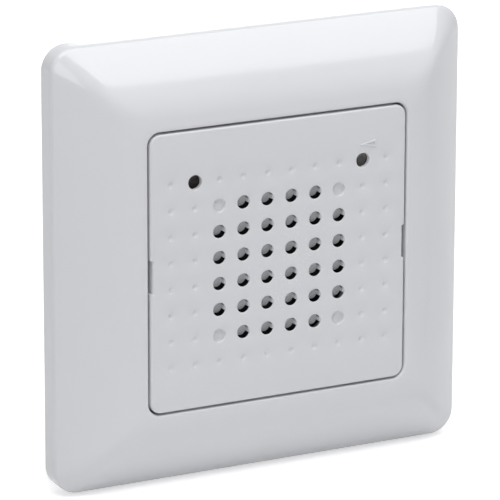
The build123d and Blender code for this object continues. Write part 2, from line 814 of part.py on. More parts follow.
def make_speaker_contacts():
    pins = []
    for x in (-contact_spacing / 2, contact_spacing / 2):
        pins.append(disc(contact_r, board_front_out, contact_top_out(), x, grid_z - contact_drop))
    return group(pins)


def contact_top_out():
    # the pins meet the slanted wall of the basket from behind
    radius = hypot(contact_spacing / 2, contact_drop) + contact_r
    share = (radius - basket_floor_r) / (speaker_opening_r - basket_floor_r)
    rise = basket_back_out - basket_floor_out
    return basket_floor_out + rise * share - contact_r


def make_adjuster_board():
    height = adjuster_board_top - adjuster_board_bottom
    middle = (adjuster_board_top + adjuster_board_bottom) / 2
    outline = Pos(0, middle) * Rectangle(adjuster_board_width, height)
    outline -= Pos(0, grid_z) * Circle(ring_r + board_ring_clearance)
    for x, z in corner_places():
        outline -= Pos(x, z) * Circle(corner_head_r + ring_clearance)
    outline -= header_pin_sketch(header_pin_width / 2)
    return slab(outline, adjuster_board_back(), adjuster_board_front())


def make_pot_body(x):
    base_front = adjuster_board_front() + pot_base_height
    top = adjuster_board_front() + pot_height
    base = Pos(x, adjuster_z) * Rectangle(pot_base_size, pot_base_size)
    body = slab(base, adjuster_board_front(), base_front)
    body += disc(pot_r, base_front, top, x, adjuster_z)
    body -= disc(rotor_r + rotor_clearance, top - pot_recess, top + overrun, x, adjuster_z)
    return body - disc(rotor_stem_r + rotor_clearance, base_front, top + overrun, x, adjuster_z)


def make_rotor(x, crossed):
    top = adjuster_face_out
    back = top - rotor_flange
    rotor = disc(rotor_r, back, top, x, adjuster_z)
    slot = Rectangle(rotor_slot_length, rotor_slot_width)
    if crossed:
        slot += Rectangle(rotor_slot_width, rotor_slot_length)
    rotor -= slab(Pos(x, adjuster_z) * slot, top - rotor_slot_depth / 2, top + overrun)
    stem_back = adjuster_board_front() + pot_base_height + rotor_clearance
    return rotor + disc(rotor_stem_r, stem_back, back, x, adjuster_z)


def header_pin_sketch(half_width):
    pins = GridLocations(header_pitch, 0, header_pin_count, 1)
    return Sketch() + [Pos(0, header_z) * place * Rectangle(2 * half_width, 2 * half_width)
                       for place in pins]


def make_link_header():
    body = slab(header_outline(0), board_front_out, board_front_out + header_body_height)
    pins = slab(header_pin_sketch(header_pin_width / 2), board_front_out + header_body_height,
                adjuster_board_front())
    return body + pins


def make_main_board():
    outline = Circle(board_r)
    for x, z in post_places():
        outline -= Pos(x, z) * Circle(post_screw_r + post_hole_clearance)
    return slab(outline, board_rear_out, board_front_out)


def board_place(share):
    # a place on the main board, given as shares of the board's radius
    share_x, share_z = share
    return Pos(share_x * board_r, share_z * board_r)


def make_chip(size, leads, place):
    # body with a row of leads along each of its two long sides
    width, height = size
    seat = board_rear_out
    body = slab(place * Rectangle(width, height), seat - chip_body_lift - chip_height,
                seat - chip_body_lift)
    body = chamfer(body.faces().sort_by(Axis.Y)[-1].edges(), chip_body_lift)
    feet = Sketch()
    for side in (-1, 1):
        edge = side * height / 2
        for spot in GridLocations(chip_lead_pitch, 0, leads, 1):
            feet += place * Pos(0, edge + side * chip_lead_reach / 2) * spot * Rectangle(
                chip_lead_width, chip_lead_reach)
    shoulder_back = seat - chip_body_lift - chip_height / 2
    return body + slab(feet, shoulder_back, seat)


def make_capacitor(radius, height, place):
    # can with a rounded bead near its foot and a crimped groove
    seat = board_rear_out
    groove = radius - capacitor_bead / 2
    back = seat - height
    return turned([
        (0, seat), (radius, seat), (radius, seat - capacitor_bead), (groove, seat - 2 * capacitor_bead),
        (radius, seat - 3 * capacitor_bead), (radius, back + capacitor_bead / 2),
        (radius - capacitor_bead / 2, back), (0, back),
    ], place.position.X, place.position.Y)


def make_bridge_rectifier():
    width, height = rectifier_size
    seat = board_rear_out
    place = board_place(rectifier_place_share)
    body = slab(place * Rectangle(width, height), seat - rectifier_height, seat - chip_body_lift)
    body = chamfer(body.faces().sort_by(Axis.Y)[-1].edges(), chip_body_lift)
    feet = Sketch()
    for side_x in (-1, 1):
        for side_z in (-1, 1):
            corner = Pos(side_x * (width / 2 + chip_lead_reach / 2), side_z * height / 4)
            feet += place * corner * Rectangle(chip_lead_reach, 2 * chip_lead_width)
    return body + slab(feet, seat - rectifier_height / 2, seat)


def surface_parts(size, height, places):
    width, depth = size
    parts = []
    for place in places:
        parts.append(slab(place * Rectangle(width, depth), board_rear_out - height, board_rear_out))
    return group(parts)


def make_resistors():
    pitch_x, pitch_z = resistor_pitch
    grid = GridLocations(pitch_x, pitch_z, resistor_column_count, resistor_row_count)
    middle = board_place(resistor_place_share)
    return surface_parts(resistor_size, resistor_height, [middle * spot for spot in grid])


def make_ceramic_capacitors():
    grid = GridLocations(ceramic_pitch, 0, ceramic_count, 1)
    middle = board_place(ceramic_place_share)
    return surface_parts(ceramic_size, ceramic_height, [middle * spot for spot in grid])


def terminal_places():
    places = GridLocations(terminal_pitch, 0, terminal_count, 1)
    return [(place.position.X, terminal_z) for place in places]


def screw_face_out():
    return -terminal_back + terminal_head_recess


def screw_seat_out():
    return screw_face_out() + terminal_head_height


def cage_low_out():
    # rear end of a cage when the terminal is open: the cage is at its lowest, by the board
    return screw_seat_out() + cage_clearance + cage_travel + cage_wall


def bar_out():
    # front face of the contact bar, which stands inside each cage
    return cage_low_out() + cage_wall + cage_clearance


def make_terminal_block():
    block = slab(terminal_block_outline(0), -terminal_back, board_rear_out)
    back_face = block.faces().sort_by(Axis.Y)[-1]
    block = chamfer(back_face.edges().filter_by(Axis.X), terminal_top_chamfer)
    well_back = screw_seat_out()
    cage_front = cage_low_out() + cage_height + cage_clearance
    for x, z in terminal_places():
        block -= disc(terminal_head_r + cage_clearance, -terminal_back - overrun, well_back, x, z)
        block -= disc(terminal_screw_r + cage_clearance, -terminal_back, well_back + overrun, x, z)
        room = Pos(x, z) * Rectangle(cage_width + 2 * cage_clearance, cage_depth + 2 * cage_clearance)
        block -= slab(room, well_back + terminal_wall(), cage_front)
        middle = entry_middle_out()
        entry = Pos(x, terminal_z - terminal_depth / 2) * Rectangle(entry_size, terminal_depth)
        block -= slab(entry, middle - entry_size / 2, middle + entry_size / 2)
    return block


def terminal_wall():
    # web of the block between a screw's head and its cage
    return cage_wall


def entry_middle_out():
    # the wire goes in between the contact bar and the far jaw of the open cage
    return bar_out() + bar_thickness + entry_size / 2


def make_terminal_screw(x, z):
    screw = cross_slotted_head(terminal_head_r, terminal_head_height, screw_face_out(),
                               terminal_slot_width, terminal_slot_depth, -1, x, z)
    return screw + disc(terminal_screw_r, screw_seat_out(), bar_out() - cage_clearance, x, z)


def make_terminal_cage(x, z):
    # square loop that rises round the contact bar; its near jaw is threaded on the screw
    back = cage_low_out()
    outer = slab(Pos(x, z) * Rectangle(cage_width, cage_depth), back, back + cage_height)
    inner = Rectangle(cage_width - 2 * cage_wall, cage_depth + 2 * overrun)
    cage = outer - slab(Pos(x, z) * inner, back + cage_wall, back + cage_height - cage_wall)
    return cage - disc(terminal_screw_r + rotor_clearance, back - overrun,
                       back + cage_wall + overrun, x, z)


def make_terminal_bars():
    bars = []
    for x, z in terminal_places():
        length = cage_depth + 2 * cage_clearance
        strip = slab(Pos(x, z) * Rectangle(bar_width, length), bar_out(), bar_out() + bar_thickness)
        bars.append(strip)
    return group(bars)


def build_nodes():
    nodes = {
        "cover_frame": make_cover_frame(),
        "centre_plate": make_centre_plate(),
        "support_plate": make_support_plate(),
        "housing": make_housing(),
        "rear_cover": make_rear_cover(),
        "mounting_screws": make_mounting_screws(),
        "housing_screws": make_housing_screws(),
        "speaker_basket": make_speaker_basket(),
        "speaker_top_plate": make_speaker_top_plate(),
        "speaker_magnet": make_speaker_magnet(),
        "speaker_yoke": make_speaker_yoke(),
        "speaker_cone": make_speaker_cone(),
        "dust_cap": make_dust_cap(),
        "voice_coil": make_voice_coil(),
        "speaker_surround": make_speaker_surround(),
        "speaker_gasket": make_speaker_gasket(),
        "speaker_contacts": make_speaker_contacts(),
        "adjuster_board": make_adjuster_board(),
        "volume_pot_body": make_pot_body(adjuster_x),
        "tone_pot_body": make_pot_body(-adjuster_x),
        "volume_rotor": make_rotor(adjuster_x, True),
        "tone_rotor": make_rotor(-adjuster_x, False),
        "link_header": make_link_header(),
        "main_board": make_main_board(),
        "sound_chip": make_chip(sound_chip_size, sound_chip_lead_count,
                                board_place(sound_chip_place_share)),
        "amplifier_chip": make_chip(amplifier_chip_size, amplifier_chip_lead_count,
                                    board_place(amplifier_chip_place_share)),
        "filter_capacitor": make_capacitor(filter_capacitor_r, filter_capacitor_height,
                                           board_place(filter_capacitor_place_share)),
        "output_capacitor": make_capacitor(output_capacitor_r, output_capacitor_height,
                                           board_place(output_capacitor_place_share)),
        "bridge_rectifier": make_bridge_rectifier(),
        "resistors": make_resistors(),
        "ceramic_capacitors": make_ceramic_capacitors(),
        "terminal_block": make_terminal_block(),
        "terminal_bars": make_terminal_bars(),
    }
    for number, (x, z) in enumerate(terminal_places(), start=1):
        nodes[f"terminal_screw_{number}"] = make_terminal_screw(x, z)
        nodes[f"terminal_cage_{number}"] = make_terminal_cage(x, z)
    return nodes


os.makedirs("parts", exist_ok=True)
for name, part in build_nodes().items():
    export_step(part, f"parts/{name}.step")
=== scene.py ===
import json
import math
import bmesh
import bpy
import numpy as np
from mathutils import Matrix, Vector


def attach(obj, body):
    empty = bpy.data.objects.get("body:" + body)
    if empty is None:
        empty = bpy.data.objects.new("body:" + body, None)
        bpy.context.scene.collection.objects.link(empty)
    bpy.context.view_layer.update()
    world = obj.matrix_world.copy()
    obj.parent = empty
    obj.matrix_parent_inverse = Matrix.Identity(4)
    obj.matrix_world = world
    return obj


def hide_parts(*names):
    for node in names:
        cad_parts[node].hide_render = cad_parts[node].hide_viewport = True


# Flush door chime: cover frame and centre plate are rebuilt here as fine surfaces, everything
# behind them keeps its solids and gets its finish. Sizes in the dictionaries are millimetres.
# "out" is the distance from the wall plane towards the room, so a point's Y is -out.

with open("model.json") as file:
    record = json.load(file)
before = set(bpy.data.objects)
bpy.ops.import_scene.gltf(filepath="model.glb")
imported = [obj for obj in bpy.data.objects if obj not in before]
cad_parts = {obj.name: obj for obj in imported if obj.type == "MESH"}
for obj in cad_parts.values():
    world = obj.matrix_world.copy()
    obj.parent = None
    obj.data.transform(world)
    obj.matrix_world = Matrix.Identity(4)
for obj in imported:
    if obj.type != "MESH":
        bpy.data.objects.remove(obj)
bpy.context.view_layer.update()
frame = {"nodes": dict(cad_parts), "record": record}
print("stage: packed model loaded")

mm = 0.001


def toWorld(x, out, z):
    # points in metres from millimetres: (x, -out, z) * mm
    return np.stack(np.broadcast_arrays(x, -np.asarray(out, float), z), axis=-1) * mm


def netFaces(rows, columns, closeRows=False, closeColumns=False):
    # quads of a net of points: row i, column j joins (i, j), (i, j+1), (i+1, j+1), (i+1, j)
    i = np.arange(rows if closeRows else rows - 1)[:, None]
    j = np.arange(columns if closeColumns else columns - 1)[None, :]
    nextI, nextJ = (i + 1) % rows, (j + 1) % columns
    quads = [i * columns + j, i * columns + nextJ, nextI * columns + nextJ, nextI * columns + j]
    return np.stack(np.broadcast_arrays(*quads), axis=-1).reshape(-1, 4)


def makePiece(name, nets, body, replaced, material, smoothAngle=32, weld=0.0005):
    # nets is a list of (points [rows, columns, 3], closeRows, closeColumns); points nearer than weld
    # (mm) merge, and edges that bend by more than smoothAngle (degrees) stay sharp
    points, faces, start = [], [], 0
    for net, closeRows, closeColumns in nets:
        rows, columns = net.shape[:2]
        points.append(net.reshape(-1, 3))
        faces.append(netFaces(rows, columns, closeRows, closeColumns) + start)
        start += rows * columns
    mesh = bpy.data.meshes.new(name)
    mesh.from_pydata(np.concatenate(points).tolist(), [], np.concatenate(faces).tolist())
    work = bmesh.new()
    work.from_mesh(mesh)
    bmesh.ops.remove_doubles(work, verts=work.verts, dist=weld * mm)
    bmesh.ops.dissolve_degenerate(work, edges=work.edges, dist=weld * mm)
    bmesh.ops.recalc_face_normals(work, faces=work.faces)
    work.to_mesh(mesh)
    work.free()
    mesh.polygons.foreach_set("use_smooth", np.ones(len(mesh.polygons), bool))
    mesh.set_sharp_from_angle(angle=math.radians(smoothAngle))
    piece = bpy.data.objects.new(name, mesh)
    bpy.context.scene.collection.objects.link(piece)
    mesh.materials.append(material)
    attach(piece, body)
    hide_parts(replaced)
    return piece


def quarterTurn(side):
    # cosine and sine of side * 90 degrees
    return round(math.cos(side * math.pi / 2)), round(math.sin(side * math.pi / 2))


def roundedSquare(half, radius, sideSteps, arcSteps):
    # loops of points round squares of half-width half: a corner's point is the arc's centre
    # + radius * (cos a, sin a), and sides run straight between the arcs
    half, radius = np.atleast_1d(half).astype(float), np.atleast_1d(radius).astype(float)
    half, radius = np.broadcast_arrays(half, radius)
    corner = np.arange(4)
    a = np.linspace(0, math.pi / 2, arcSteps + 1)[None, :] + corner[:, None] * math.pi / 2
    signX = np.array([1, -1, -1, 1])[None, :, None]
    signZ = np.array([1, 1, -1, -1])[None, :, None]
    reach = (half - radius)[:, None, None]
    arcX = reach * signX + radius[:, None, None] * np.cos(a)[None]
    arcZ = reach * signZ + radius[:, None, None] * np.sin(a)[None]
    share = np.linspace(0, 1, sideSteps + 1)[1:-1][None, None, :]
    nextX, nextZ = np.roll(arcX, -1, axis=1)[:, :, :1], np.roll(arcZ, -1, axis=1)[:, :, :1]
    sideX = arcX[:, :, -1:] * (1 - share) + nextX * share
    sideZ = arcZ[:, :, -1:] * (1 - share) + nextZ * share
    x = np.concatenate([arcX, sideX], axis=2).reshape(len(half), -1)
    z = np.concatenate([arcZ, sideZ], axis=2).reshape(len(half), -1)
    return x, z


# Shader groups: each puts out masks, values or a height, the Principled shader stays in the material
def newGroup(name, inputs, outputs):
    group = bpy.data.node_groups.new(name, "ShaderNodeTree")
    for label, kind, value in inputs:
        socket = group.interface.new_socket(label, in_out="INPUT", socket_type=kind)
        socket.default_value = value
    for label, kind in outputs:
        group.interface.new_socket(label, in_out="OUTPUT", socket_type=kind)
    start = group.nodes.new("NodeGroupInput")
    end = group.nodes.new("NodeGroupOutput")
    return group, start, end


def wire(tree, source, target):
    tree.links.new(source, target)


def feed(tree, socket, value):
    # a plain value is set on the socket, an output is wired to it
    if isinstance(value, bpy.types.NodeSocket):
        wire(tree, value, socket)
    else:
        socket.default_value = value


def mathNode(tree, operation, *values):
    node = tree.nodes.new("ShaderNodeMath")
    node.operation = operation
    for socket, value in zip(node.inputs, values):
        feed(tree, socket, value)
    return node.outputs[0]


def noiseNode(tree, scale, detail, roughness, vector):
    node = tree.nodes.new("ShaderNodeTexNoise")
    for label, value in (("Scale", scale), ("Detail", detail), ("Roughness", roughness), ("Vector", vector)):
        feed(tree, node.inputs[label], value)
    return node.outputs["Fac"]


def objectPlace(tree):
    return tree.nodes.new("ShaderNodeTexCoord").outputs["Object"]


def buildSurfaceGrain():
    # slow colour drift, fine skin height, and roughness + spread * (mix of both - middle)
    group, start, end = newGroup(
        "surfaceGrain",
        [("Drift Size", "NodeSocketFloat", 40.0), ("Grain Size", "NodeSocketFloat", 1500.0),
         ("Roughness", "NodeSocketFloat", 0.4), ("Roughness Spread", "NodeSocketFloat", 0.06)],
        [("Drift", "NodeSocketFloat"), ("Roughness", "NodeSocketFloat"), ("Height", "NodeSocketFloat")])
    place = objectPlace(group)
    drift = noiseNode(group, start.outputs["Drift Size"], 3.0, 0.5, place)
    grain = noiseNode(group, start.outputs["Grain Size"], 2.0, 0.6, place)
    driftShare, grainShare, middle = 0.6, 0.4, 0.5
    mixed = mathNode(group, "ADD", mathNode(group, "MULTIPLY", drift, driftShare),
                     mathNode(group, "MULTIPLY", grain, grainShare))
    spread = mathNode(group, "MULTIPLY", mathNode(group, "SUBTRACT", mixed, middle),
                      start.outputs["Roughness Spread"])
    wire(group, drift, end.inputs["Drift"])
    wire(group, mathNode(group, "ADD", start.outputs["Roughness"], spread), end.inputs["Roughness"])
    wire(group, grain, end.inputs["Height"])
    return group


def buildBrushedLines():
    # fine lines along one axis: noise on coordinates that are stretched along Stretch
    group, start, end = newGroup(
        "brushedLines",
        [("Stretch", "NodeSocketVector", (1.0, 1.0, 1.0)), ("Size", "NodeSocketFloat", 900.0),
         ("Patch Size", "NodeSocketFloat", 180.0)],
        [("Lines", "NodeSocketFloat"), ("Patches", "NodeSocketFloat")])
    place = objectPlace(group)
    scaled = group.nodes.new("ShaderNodeVectorMath")
    scaled.operation = "MULTIPLY"
    wire(group, place, scaled.inputs[0])
    wire(group, start.outputs["Stretch"], scaled.inputs[1])
    wire(group, noiseNode(group, start.outputs["Size"], 3.0, 0.6, scaled.outputs[0]), end.inputs["Lines"])
    wire(group, noiseNode(group, start.outputs["Patch Size"], 2.0, 0.5, place), end.inputs["Patches"])
    return group


def buildPlatingCells():
    # crystal-like patches of a plated coat: the random value of each Voronoi cell
    group, start, end = newGroup(
        "platingCells", [("Size", "NodeSocketFloat", 700.0)], [("Cell", "NodeSocketFloat")])
    place = objectPlace(group)
    cells = group.nodes.new("ShaderNodeTexVoronoi")
    wire(group, place, cells.inputs["Vector"])
    wire(group, start.outputs["Size"], cells.inputs["Scale"])
    split = group.nodes.new("ShaderNodeSeparateColor")
    wire(group, cells.outputs["Color"], split.inputs[0])
    wire(group, split.outputs["Red"], end.inputs["Cell"])
    return group


def buildWoundTurns():
    # parallel turns of wire: sin(pitch * y) * half + half, along the coil's axis
    group, start, end = newGroup(
        "woundTurns", [("Pitch", "NodeSocketFloat", 4000.0)], [("Turns", "NodeSocketFloat")])
    place = objectPlace(group)
    split = group.nodes.new("ShaderNodeSeparateXYZ")
    wire(group, place, split.inputs[0])
    wave = mathNode(group, "SINE", mathNode(group, "MULTIPLY", split.outputs["Y"], start.outputs["Pitch"]))
    wire(group, mathNode(group, "MULTIPLY_ADD", wave, 0.5, 0.5), end.inputs["Turns"])
    return group


groups = {"grain": buildSurfaceGrain(), "lines": buildBrushedLines(), "cells": buildPlatingCells(),
          "turns": buildWoundTurns()}


def linear(value):
    # sRGB share to linear light
    return value / 12.92 if value <= 0.04045 else ((value + 0.055) / 1.055) ** 2.4


def paint(colour):
    # linear colour with alpha from sRGB shares
    return tuple(linear(c) for c in colour) + (1.0,)


def newMaterial(name):
    material = bpy.data.materials.new(name)
    material.use_nodes = True
    tree = material.node_tree
    return material, tree, tree.nodes["Principled BSDF"]


def useGroup(tree, group, **values):
    node = tree.nodes.new("ShaderNodeGroup")
    node.node_tree = group
    for label, value in values.items():
        node.inputs[label].default_value = value
    return node


def mixTints(tree, share, dark, light):
    # dark where the share is 0, light where it is 1
    node = tree.nodes.new("ShaderNodeMix")
    node.data_type = "RGBA"
    wire(tree, share, node.inputs["Factor"])
    node.inputs[6].default_value, node.inputs[7].default_value = paint(dark), paint(light)
    return node.outputs[2]


def addBump(tree, shader, height, depth):
    node = tree.nodes.new("ShaderNodeBump")
    node.inputs["Distance"].default_value = depth * mm
    wire(tree, height, node.inputs["Height"])
    wire(tree, node.outputs["Normal"], shader.inputs["Normal"])


def mouldedPlastic(name, look):
    # base colour drifts between two close tints, and a fine skin roughens the gloss
    material, tree, shader = newMaterial(name)
    grain = useGroup(tree, groups["grain"], **{
        "Drift Size": look["driftSize"], "Grain Size": look["grainSize"],
        "Roughness": look["roughness"], "Roughness Spread": look["spread"]})
    tint = mixTints(tree, grain.outputs["Drift"], look["dark"], look["light"])
    wire(tree, tint, shader.inputs["Base Color"])
    wire(tree, grain.outputs["Roughness"], shader.inputs["Roughness"])
    shader.inputs["Specular IOR Level"].default_value = look["specular"]
    addBump(tree, shader, grain.outputs["Height"], look["bump"])
    return material


def metalFinish(name, look):
    # brushed or plated metal: lines change its roughness, patches its tint
    material, tree, shader = newMaterial(name)
    shader.inputs["Metallic"].default_value = look["metallic"]
    lines = useGroup(tree, groups["lines"], Stretch=look["stretch"], Size=look["size"])
    cells = useGroup(tree, groups["cells"], Size=look["cellSize"])
    share = mathNode(tree, "MULTIPLY_ADD", cells.outputs["Cell"], look["cellShare"], lines.outputs["Patches"])
    tint = mixTints(tree, share, look["dark"], look["light"])
    wire(tree, tint, shader.inputs["Base Color"])
    rough = tree.nodes.new("ShaderNodeMapRange")
    rough.inputs["To Min"].default_value = look["roughLow"]
    rough.inputs["To Max"].default_value = look["roughHigh"]
    wire(tree, lines.outputs["Lines"], rough.inputs["Value"])
    wire(tree, rough.outputs[0], shader.inputs["Roughness"])
    addBump(tree, shader, lines.outputs["Lines"], look["bump"])
    return material


def paperCone(name, look):
    # pressed fibres: a coarse grain drives tint, roughness and height
    material, tree, shader = newMaterial(name)
    grain = useGroup(tree, groups["grain"], **{
        "Drift Size": look["driftSize"], "Grain Size": look["grainSize"],
        "Roughness": look["roughness"], "Roughness Spread": look["spread"]})
    tint = mixTints(tree, grain.outputs["Height"], look["dark"], look["light"])
    wire(tree, tint, shader.inputs["Base Color"])
    wire(tree, grain.outputs["Roughness"], shader.inputs["Roughness"])
    addBump(tree, shader, grain.outputs["Height"], look["bump"])
    return material


def woundCopper(name, look):
    # enamelled turns: the wave of the turns drives tint and height
    material, tree, shader = newMaterial(name)
    shader.inputs["Metallic"].default_value = 1.0
    turns = useGroup(tree, groups["turns"], Pitch=look["pitch"])
    tint = mixTints(tree, turns.outputs["Turns"], look["dark"], look["light"])
    wire(tree, tint, shader.inputs["Base Color"])
    shader.inputs["Roughness"].default_value = look["roughness"]
    addBump(tree, shader, turns.outputs["Turns"], look["bump"])
    return material


def boardLaminate(name, look):
    # green solder resist over a faint glass weave: sin(weave * x) * sin(weave * z) * half + half
    material, tree, shader = newMaterial(name)
    place = objectPlace(tree)
    split = tree.nodes.new("ShaderNodeSeparateXYZ")
    wire(tree, place, split.inputs[0])
    waves = [mathNode(tree, "SINE", mathNode(tree, "MULTIPLY", split.outputs[axis], look["weave"]))
             for axis in ("X", "Z")]
    weave = mathNode(tree, "MULTIPLY_ADD", mathNode(tree, "MULTIPLY", *waves), 0.5, 0.5)
    wire(tree, mixTints(tree, weave, look["dark"], look["light"]), shader.inputs["Base Color"])
    shader.inputs["Roughness"].default_value = look["roughness"]
    addBump(tree, shader, weave, look["bump"])
    return material


whiteFrame = mouldedPlastic("whiteFramePlastic", {
    "dark": (0.865, 0.868, 0.880), "light": (0.880, 0.883, 0.893), "driftSize": 22.0, "grainSize": 2600.0,
    "roughness": 0.12, "spread": 0.03, "specular": 0.5, "bump": 0.0002})
whitePlate = mouldedPlastic("whitePlatePlastic", {
    "dark": (0.858, 0.862, 0.874), "light": (0.874, 0.878, 0.888), "driftSize": 26.0, "grainSize": 2400.0,
    "roughness": 0.27, "spread": 0.03, "specular": 0.5, "bump": 0.0003})
finishes = {
    "frame_plastic": whiteFrame,
    "plate_plastic": whitePlate,
    "housing_plastic": mouldedPlastic("darkHousingPlastic", {
        "dark": (0.145, 0.148, 0.155), "light": (0.185, 0.188, 0.195), "driftSize": 60.0,
        "grainSize": 2200.0, "roughness": 0.5, "spread": 0.12, "specular": 0.4, "bump": 0.012}),
    "terminal_plastic": mouldedPlastic("greyTerminalPlastic", {
        "dark": (0.50, 0.51, 0.52), "light": (0.56, 0.57, 0.575), "driftSize": 90.0,
        "grainSize": 2600.0, "roughness": 0.45, "spread": 0.1, "specular": 0.45, "bump": 0.008}),
    "pot_plastic": mouldedPlastic("blackPotPlastic", {
        "dark": (0.085, 0.085, 0.09), "light": (0.12, 0.12, 0.125), "driftSize": 160.0,
        "grainSize": 3000.0, "roughness": 0.5, "spread": 0.15, "specular": 0.4, "bump": 0.01}),
    "rotor_plastic": mouldedPlastic("greyRotorPlastic", {
        "dark": (0.44, 0.42, 0.41), "light": (0.52, 0.50, 0.49), "driftSize": 700.0,
        "grainSize": 3200.0, "roughness": 0.42, "spread": 0.15, "specular": 0.5, "bump": 0.01}),
    # the rotor seen in the right hole is lighter, so this entry goes by the name of its node
    "volume_rotor": mouldedPlastic("ivoryRotorPlastic", {
        "dark": (0.82, 0.80, 0.79), "light": (0.87, 0.85, 0.84), "driftSize": 700.0,
        "grainSize": 3200.0, "roughness": 0.42, "spread": 0.15, "specular": 0.5, "bump": 0.005}),
    "chip_black": mouldedPlastic("chipCompound", {
        "dark": (0.06, 0.06, 0.062), "light": (0.10, 0.10, 0.102), "driftSize": 300.0,
        "grainSize": 4200.0, "roughness": 0.6, "spread": 0.15, "specular": 0.35, "bump": 0.01}),
    "ceramic_tan": mouldedPlastic("tanCeramic", {
        "dark": (0.56, 0.45, 0.32), "light": (0.66, 0.54, 0.40), "driftSize": 900.0,
        "grainSize": 5000.0, "roughness": 0.4, "spread": 0.1, "specular": 0.5, "bump": 0.006}),
    "surround_rubber": mouldedPlastic("surroundRubber", {
        "dark": (0.07, 0.07, 0.07), "light": (0.10, 0.10, 0.10), "driftSize": 300.0,
        "grainSize": 2600.0, "roughness": 0.62, "spread": 0.15, "specular": 0.35, "bump": 0.01}),
    "gasket_foam": mouldedPlastic("closedCellFoam", {
        "dark": (0.09, 0.09, 0.095), "light": (0.16, 0.16, 0.165), "driftSize": 900.0,
        "grainSize": 1900.0, "roughness": 0.9, "spread": 0.1, "specular": 0.2, "bump": 0.12}),
    "ferrite": mouldedPlastic("darkFerrite", {
        "dark": (0.12, 0.12, 0.125), "light": (0.19, 0.19, 0.195), "driftSize": 240.0,
        "grainSize": 1600.0, "roughness": 0.58, "spread": 0.2, "specular": 0.6, "bump": 0.02}),
    "zinc_steel": metalFinish("zincSheet", {
        "dark": (0.60, 0.61, 0.62), "light": (0.76, 0.77, 0.79), "metallic": 0.95,
        "stretch": (1.0, 1.0, 8.0), "size": 160.0, "cellSize": 420.0, "cellShare": 0.35,
        "roughLow": 0.26, "roughHigh": 0.42, "bump": 0.006}),
    "screw_steel": metalFinish("zincScrew", {
        "dark": (0.66, 0.66, 0.66), "light": (0.80, 0.80, 0.80), "metallic": 1.0,
        "stretch": (1.0, 6.0, 1.0), "size": 900.0, "cellSize": 1500.0, "cellShare": 0.3,
        "roughLow": 0.2, "roughHigh": 0.34, "bump": 0.005}),
    "contact_brass": metalFinish("platedBrass", {
        "dark": (0.68, 0.60, 0.42), "light": (0.82, 0.76, 0.58), "metallic": 1.0,
        "stretch": (6.0, 1.0, 1.0), "size": 700.0, "cellSize": 1200.0, "cellShare": 0.25,
        "roughLow": 0.22, "roughHigh": 0.36, "bump": 0.004}),
    "capacitor_can": metalFinish("aluminiumCan", {
        "dark": (0.74, 0.75, 0.76), "light": (0.86, 0.87, 0.88), "metallic": 1.0,
        "stretch": (1.0, 9.0, 1.0), "size": 600.0, "cellSize": 900.0, "cellShare": 0.15,
        "roughLow": 0.24, "roughHigh": 0.36, "bump": 0.004}),
    "paper_cone": paperCone("pressedPaper", {
        "dark": (0.09, 0.09, 0.095), "light": (0.17, 0.17, 0.175), "driftSize": 600.0,
        "grainSize": 2600.0, "roughness": 0.85, "spread": 0.1, "bump": 0.05}),
    "copper": woundCopper("enamelledCopper", {
        "dark": (0.50, 0.24, 0.12), "light": (0.80, 0.48, 0.28), "pitch": 26000.0,
        "roughness": 0.35, "bump": 0.03}),
    "board_laminate": boardLaminate("greenLaminate", {
        "dark": (0.05, 0.22, 0.11), "light": (0.09, 0.30, 0.16), "weave": 9000.0,
        "roughness": 0.32, "bump": 0.012}),
}
slotOf = {part["node"]: part["material_slot"] for part in frame["record"]["subparts"]}
for nodeName, node in frame["nodes"].items():
    node.data.materials.clear()
    node.data.materials.append(finishes.get(nodeName, finishes[slotOf[nodeName]]))
print("stage: finishes placed on", len(frame["nodes"]), "nodes")


# Cover frame
coverFrame = {
    "half": 40.0, "cornerRadius": 4.5, "rearOut": 0.1, "rimOut": 3.3, "rimRound": 1.3, "lipOut": 11.6,
    "lipRound": 0.4, "openingHalf": 25.4, "openingRadius": 2.4, "startAngle": 41.5, "joinAngle": 30.0,
    "wall": 1.8, "collarWall": 1.4, "collarRearOut": 1.5, "ledgeOut": 5.0, "ledgeDepth": 1.5,
    "ringHalf": 31.0, "ringWall": 1.2, "ringOuterRadius": 3.6, "ringInnerRadius": 2.4, "ringRearOut": 1.5,
    "ribs": 4, "ribWall": 1.0, "ribRearOut": 3.8, "ribLeast": 0.05,
    # how far ring and ribs go up into the shell, and ribs into the walls at their ends
    "overlap": 0.4, "ribOverlap": 0.3,
    # the crown stops this far before the lip's own round
    "lipMargin": 0.15,
    "sideSteps": 24, "cornerSteps": 14, "arcSteps": 16, "rimSteps": 9, "lipSteps": 6, "wallSteps": 5,
    "ringSideSteps": 8, "ringCornerSteps": 6, "ribSteps": 14,
    # how round the mitre is: distance from the outer edge, and radius of the corner there
    "mitreAt": (0.0, 1.2, 2.6, 4.5, 7.0, 10.0, 14.6), "mitreRadius": (4.5, 4.1, 3.3, 2.4, 1.8, 1.9, 2.4),
}


def crownArcs(size):
    # two arcs carry the border from the rim to the opening: their radii R and r solve
    # run = a R + b r and rise = c R + d r, with the slopes at start and join given
    start, join = math.radians(size["startAngle"]), math.radians(size["joinAngle"])
    turn = math.pi / 2 - start
    foot = (size["rimRound"] * (1 - math.cos(turn)), size["rimOut"] + size["rimRound"] * math.sin(turn))
    sums = np.array([[math.sin(start) - math.sin(join), math.sin(join)],
                     [math.cos(join) - math.cos(start), 1 - math.cos(join)]])
    wanted = np.array([size["half"] - size["openingHalf"] - foot[0], size["lipOut"] - foot[1]])
    outerR, innerR = np.linalg.solve(sums, wanted)
    return foot, outerR, innerR, start, join, turn


